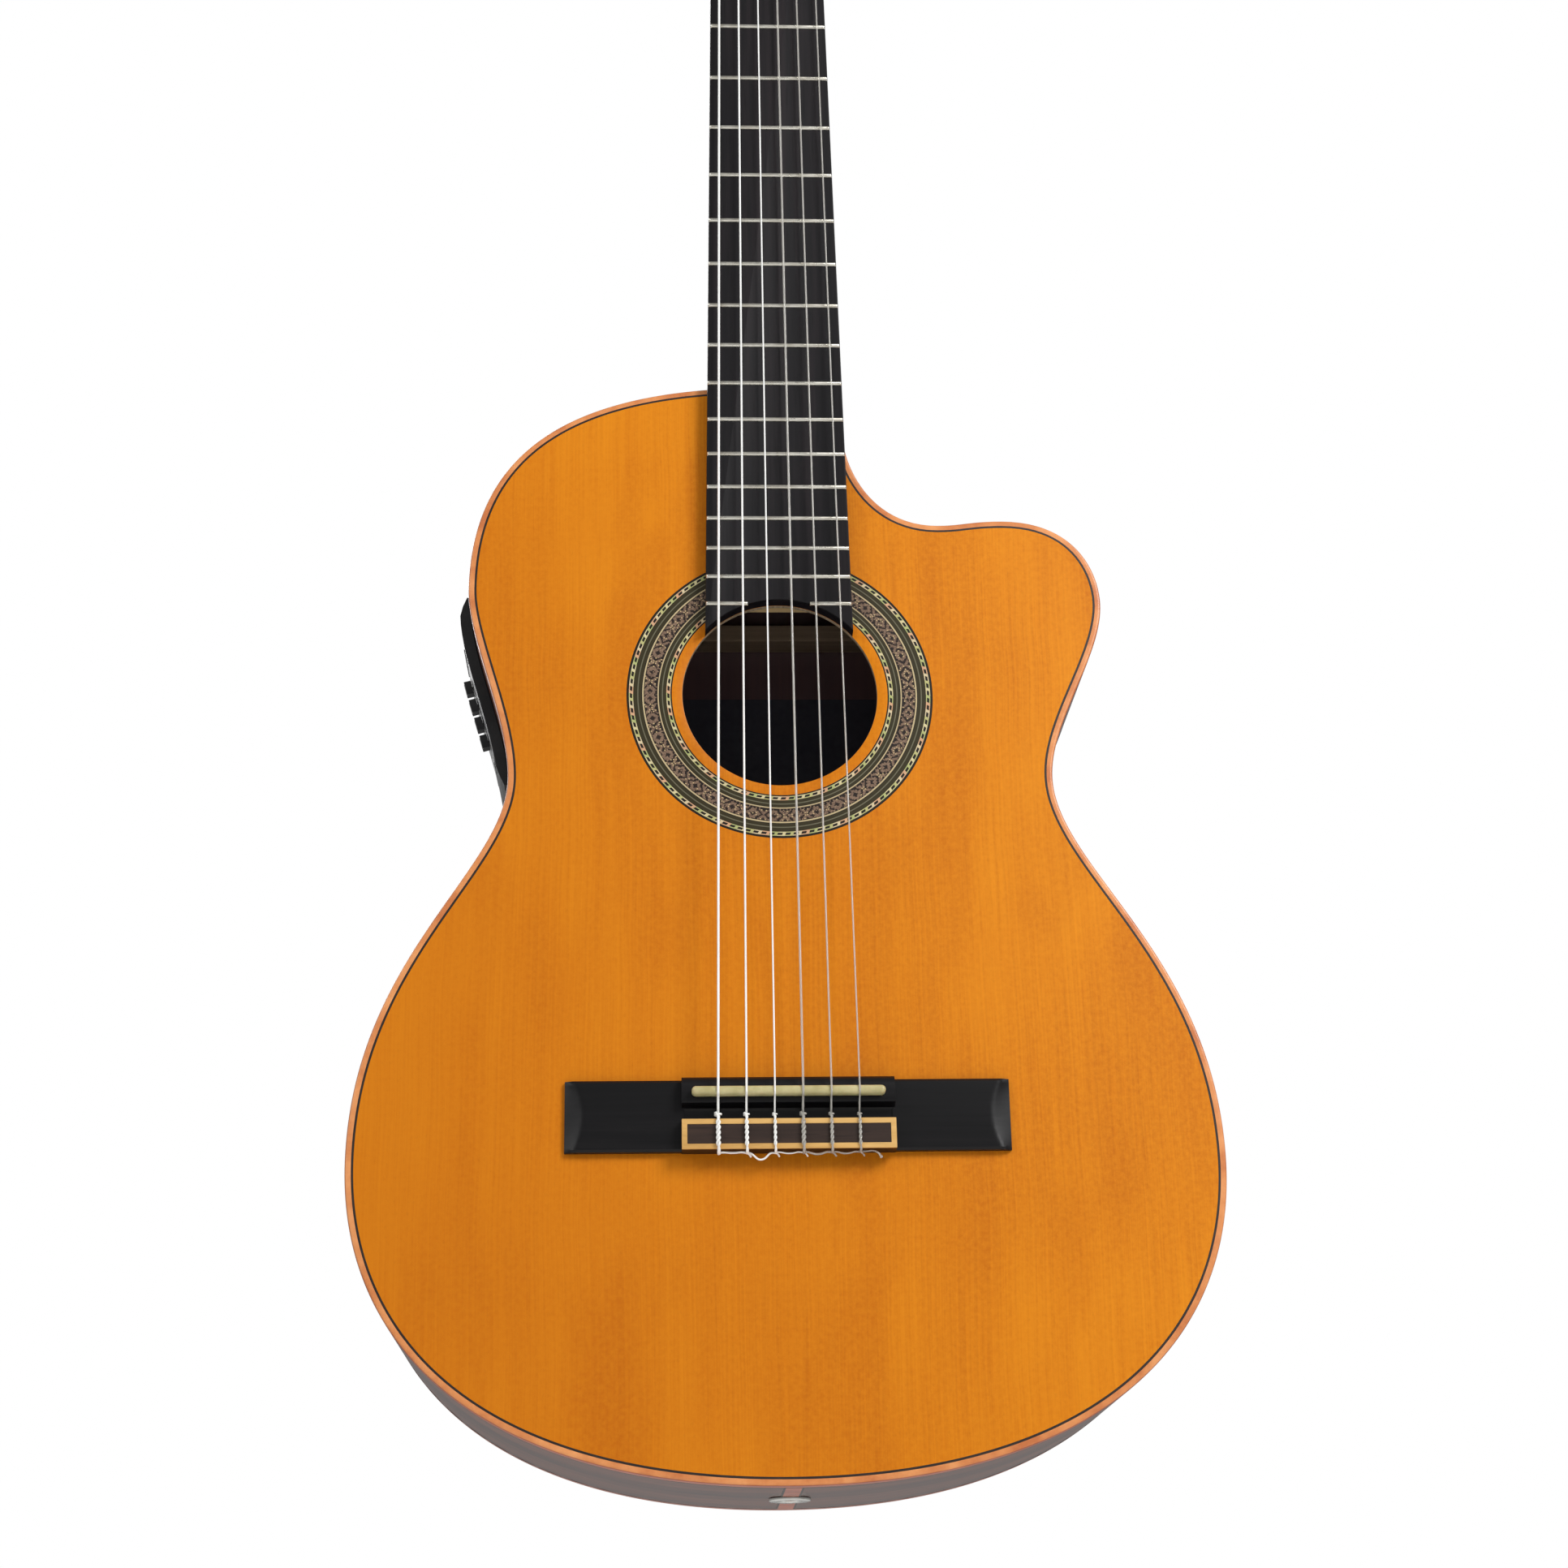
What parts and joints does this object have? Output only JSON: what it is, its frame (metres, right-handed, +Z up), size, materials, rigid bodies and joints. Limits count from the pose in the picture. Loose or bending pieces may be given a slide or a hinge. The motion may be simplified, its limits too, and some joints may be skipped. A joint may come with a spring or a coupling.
{
  "type": "classical guitar",
  "caption": "Cutaway nylon-string classical guitar with slotted head, geared tuners, rosette, tie bridge and side-mounted preamp, held upright by its head.",
  "frame": {"origin": "on the centre line at the nut, in the plane where the fingerboard is glued to the neck, midway between the two head shoulders that a wall hanger's arms carry", "axes": "+Z up along the neck towards the head, +X towards the treble side with the cutaway, -Y out of the front (the soundboard's face is y = 0)"},
  "size_m": [0.3546, 0.1109, 0.9921],
  "materials": {
    "cedar_top": "semi-gloss orange cedar with fine straight grain",
    "rosewood": "gloss dark red-brown rosewood",
    "mahogany": "satin red-brown mahogany",
    "spruce": "bare pale spruce",
    "ebony": "satin near-black wood",
    "binding": "gloss light tan wood strip",
    "purfling": "black line",
    "mosaic": "inlaid coloured wood rings",
    "maple": "pale figured wood",
    "bone": "ivory-coloured bone",
    "nylon": "translucent nylon",
    "wound": "silver-plated wire wound on a core",
    "gold": "gold-plated metal",
    "pearl": "pearl-coloured plastic",
    "black_plastic": "matte black plastic",
    "battery_case": "dark grey printed case with no text",
    "nickel": "nickel plate"
  },
  "bodies": {
    "guitar": {"soundboard": "cedar_top", "rosette": "mosaic", "back": "rosewood", "binding_top": "binding", "purfling_top": "purfling", "binding_back": "binding", "rib_bass": "rosewood", "rib_treble": "rosewood", "lining_top": "mahogany", "lining_back": "mahogany", "neck_block": "mahogany", "tail_block": "mahogany", "upper_transverse_bar": "spruce", "lower_transverse_bar": "spruce", "bridge_plate": "spruce", "fan_brace_1": "spruce", "fan_brace_2": "spruce", "fan_brace_3": "spruce", "fan_brace_4": "spruce", "fan_brace_5": "spruce", "back_brace_1": "spruce", "back_brace_2": "spruce", "back_brace_3": "spruce", "neck": "mahogany", "heel_cap": "ebony", "head_veneer": "rosewood", "fingerboard": "ebony", "nut": "bone", "bridge": "ebony", "tie_block_border": "maple", "saddle": "bone", "saddle_pickup": "nickel", "string_6_e": "wound", "string_5_a": "wound", "string_4_d": "wound", "string_3_g": "nylon", "string_2_b": "nylon", "string_1_e": "nylon", "tuner_plate_bass": "gold", "tuner_plate_treble": "gold", "preamp_housing": "black_plastic", "battery": "battery_case", "output_jack": "nickel"},
    "button_bass_1": {"tuner_button_bass_1": "pearl"},
    "roller_bass_1": {"tuner_roller_bass_1": "gold"},
    "button_bass_2": {"tuner_button_bass_2": "pearl"},
    "roller_bass_2": {"tuner_roller_bass_2": "gold"},
    "button_bass_3": {"tuner_button_bass_3": "pearl"},
    "roller_bass_3": {"tuner_roller_bass_3": "gold"},
    "button_treble_1": {"tuner_button_treble_1": "pearl"},
    "roller_treble_1": {"tuner_roller_treble_1": "gold"},
    "button_treble_2": {"tuner_button_treble_2": "pearl"},
    "roller_treble_2": {"tuner_roller_treble_2": "gold"},
    "button_treble_3": {"tuner_button_treble_3": "pearl"},
    "roller_treble_3": {"tuner_roller_treble_3": "gold"},
    "slider_1": {"slider_1": "black_plastic"},
    "slider_2": {"slider_2": "black_plastic"},
    "slider_3": {"slider_3": "black_plastic"},
    "slider_4": {"slider_4": "black_plastic"},
    "battery_door": {"battery_door": "black_plastic"}
  },
  "joints": [
    {"name": "turn_button_bass_1", "type": "hinge", "parent": "guitar", "child": "button_bass_1", "pos_m": [-0.0363, 0.01904, 0.04316], "axis": [0, 0.9703, -0.2419], "continuous": true},
    {"name": "turn_roller_bass_1", "type": "hinge", "parent": "guitar", "child": "roller_bass_1", "pos_m": [-0.0323, 0.02131, 0.05228], "axis": [1, 0, 0], "continuous": true},
    {"name": "turn_button_bass_2", "type": "hinge", "parent": "guitar", "child": "button_bass_2", "pos_m": [-0.0363, 0.02751, 0.07712], "axis": [0, 0.9703, -0.2419], "continuous": true},
    {"name": "turn_roller_bass_2", "type": "hinge", "parent": "guitar", "child": "roller_bass_2", "pos_m": [-0.0323, 0.02978, 0.08624], "axis": [1, 0, 0], "continuous": true},
    {"name": "turn_button_bass_3", "type": "hinge", "parent": "guitar", "child": "button_bass_3", "pos_m": [-0.0363, 0.03597, 0.11108], "axis": [0, 0.9703, -0.2419], "continuous": true},
    {"name": "turn_roller_bass_3", "type": "hinge", "parent": "guitar", "child": "roller_bass_3", "pos_m": [-0.0323, 0.03825, 0.1202], "axis": [1, 0, 0], "continuous": true},
    {"name": "turn_button_treble_1", "type": "hinge", "parent": "guitar", "child": "button_treble_1", "pos_m": [0.0363, 0.01904, 0.04316], "axis": [0, 0.9703, -0.2419], "continuous": true},
    {"name": "turn_roller_treble_1", "type": "hinge", "parent": "guitar", "child": "roller_treble_1", "pos_m": [0.0323, 0.02131, 0.05228], "axis": [1, 0, 0], "continuous": true},
    {"name": "turn_button_treble_2", "type": "hinge", "parent": "guitar", "child": "button_treble_2", "pos_m": [0.0363, 0.02751, 0.07712], "axis": [0, 0.9703, -0.2419], "continuous": true},
    {"name": "turn_roller_treble_2", "type": "hinge", "parent": "guitar", "child": "roller_treble_2", "pos_m": [0.0323, 0.02978, 0.08624], "axis": [1, 0, 0], "continuous": true},
    {"name": "turn_button_treble_3", "type": "hinge", "parent": "guitar", "child": "button_treble_3", "pos_m": [0.0363, 0.03597, 0.11108], "axis": [0, 0.9703, -0.2419], "continuous": true},
    {"name": "turn_roller_treble_3", "type": "hinge", "parent": "guitar", "child": "roller_treble_3", "pos_m": [0.0323, 0.03825, 0.1202], "axis": [1, 0, 0], "continuous": true},
    {"name": "slide_1", "type": "slide", "parent": "guitar", "child": "slider_1", "axis": [0, 1, 0], "range_m": [-0.008, 0.008]},
    {"name": "slide_2", "type": "slide", "parent": "guitar", "child": "slider_2", "axis": [0, 1, 0], "range_m": [-0.008, 0.008]},
    {"name": "slide_3", "type": "slide", "parent": "guitar", "child": "slider_3", "axis": [0, 1, 0], "range_m": [-0.008, 0.008]},
    {"name": "slide_4", "type": "slide", "parent": "guitar", "child": "slider_4", "axis": [0, 1, 0], "range_m": [-0.008, 0.008]},
    {"name": "open_battery_door", "type": "hinge", "parent": "guitar", "child": "battery_door", "pos_m": [-0.1393, 0.049, -0.421], "axis": [0, 1, 0], "range_deg": [0, 95]}
  ],
  "couplings": [
    {"joint": "turn_roller_bass_1", "follows": "turn_button_bass_1", "ratio": -0.071429},
    {"joint": "turn_roller_bass_2", "follows": "turn_button_bass_2", "ratio": -0.071429},
    {"joint": "turn_roller_bass_3", "follows": "turn_button_bass_3", "ratio": -0.071429},
    {"joint": "turn_roller_treble_1", "follows": "turn_button_treble_1", "ratio": 0.071429},
    {"joint": "turn_roller_treble_2", "follows": "turn_button_treble_2", "ratio": 0.071429},
    {"joint": "turn_roller_treble_3", "follows": "turn_button_treble_3", "ratio": 0.071429}
  ]
}
